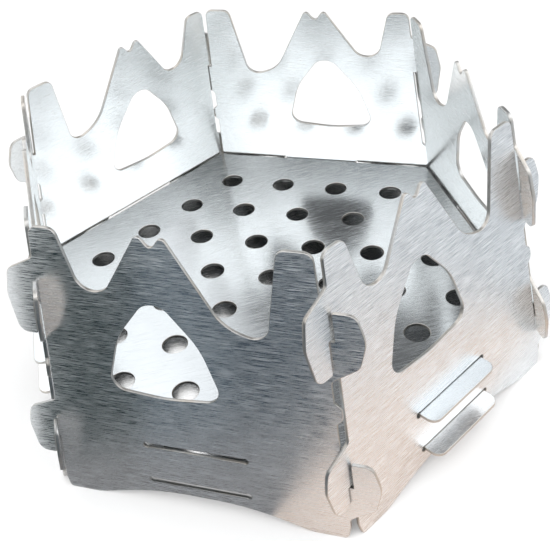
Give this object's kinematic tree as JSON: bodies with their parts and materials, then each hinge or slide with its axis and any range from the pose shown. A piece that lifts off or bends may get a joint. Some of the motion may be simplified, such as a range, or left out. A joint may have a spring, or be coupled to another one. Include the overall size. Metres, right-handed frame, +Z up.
{
  "type": "hexagonal spirit stove",
  "caption": "Plug-together hexagonal stove with leaning perforated walls, a crown that carries the pot, a grate with round holes and an ash plate below it.",
  "frame": {"origin": "on the ground, at the middle of the stove", "axes": "+Z up; one corner of the hexagon points to -Y and the opposite one to +Y; the walls on the left and right face -X and +X"},
  "size_m": [0.123, 0.1362, 0.0661],
  "materials": {
    "wall_steel": "brushed lengthwise, fine even grain",
    "grate_steel": "satin rolled sheet",
    "plate_steel": "satin rolled sheet"
  },
  "bodies": {
    "root": {"side_panel_front_right": "wall_steel", "side_panel_right": "wall_steel", "side_panel_back_right": "wall_steel", "side_panel_back_left": "wall_steel", "side_panel_left": "wall_steel", "side_panel_front_left": "wall_steel", "fire_grate": "grate_steel", "ash_plate": "plate_steel"}
  },
  "joints": []
}
